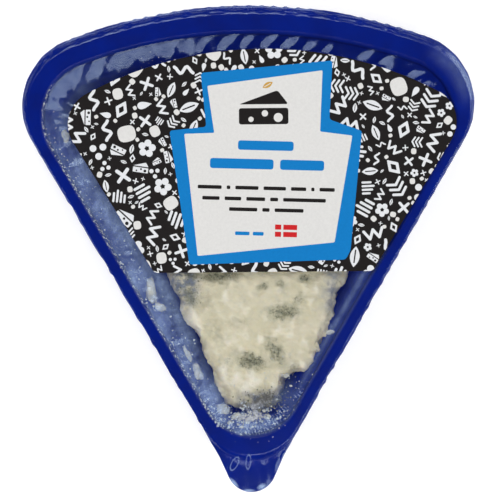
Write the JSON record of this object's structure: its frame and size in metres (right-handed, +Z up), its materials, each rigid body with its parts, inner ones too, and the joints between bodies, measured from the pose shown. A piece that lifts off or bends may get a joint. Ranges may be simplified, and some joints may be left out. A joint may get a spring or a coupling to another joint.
{
  "type": "packed blue cheese wedge",
  "caption": "Wedge of creamy blue cheese in a sealed sector-shaped blue plastic tray, with a clear peel-off film and a printed label.",
  "frame": {"origin": "middle of the pack's footprint, on the surface that it stands on", "axes": "+Y towards the arc of the pack, -Y towards its peel tab, +Z up through film and label"},
  "size_m": [0.1252, 0.1348, 0.025],
  "materials": {
    "tray": "thin formed plastic sheet, deep blue and glossy",
    "cheese": "moist cream paste with grey-green pockets of mould",
    "film": "clear, thin and glossy, a little wrinkled",
    "label": "coated paper, printed black, blue and off-white"
  },
  "bodies": {
    "root": {"tray": "tray", "cheese": "cheese", "lid_film": "film", "label": "label"}
  },
  "joints": []
}
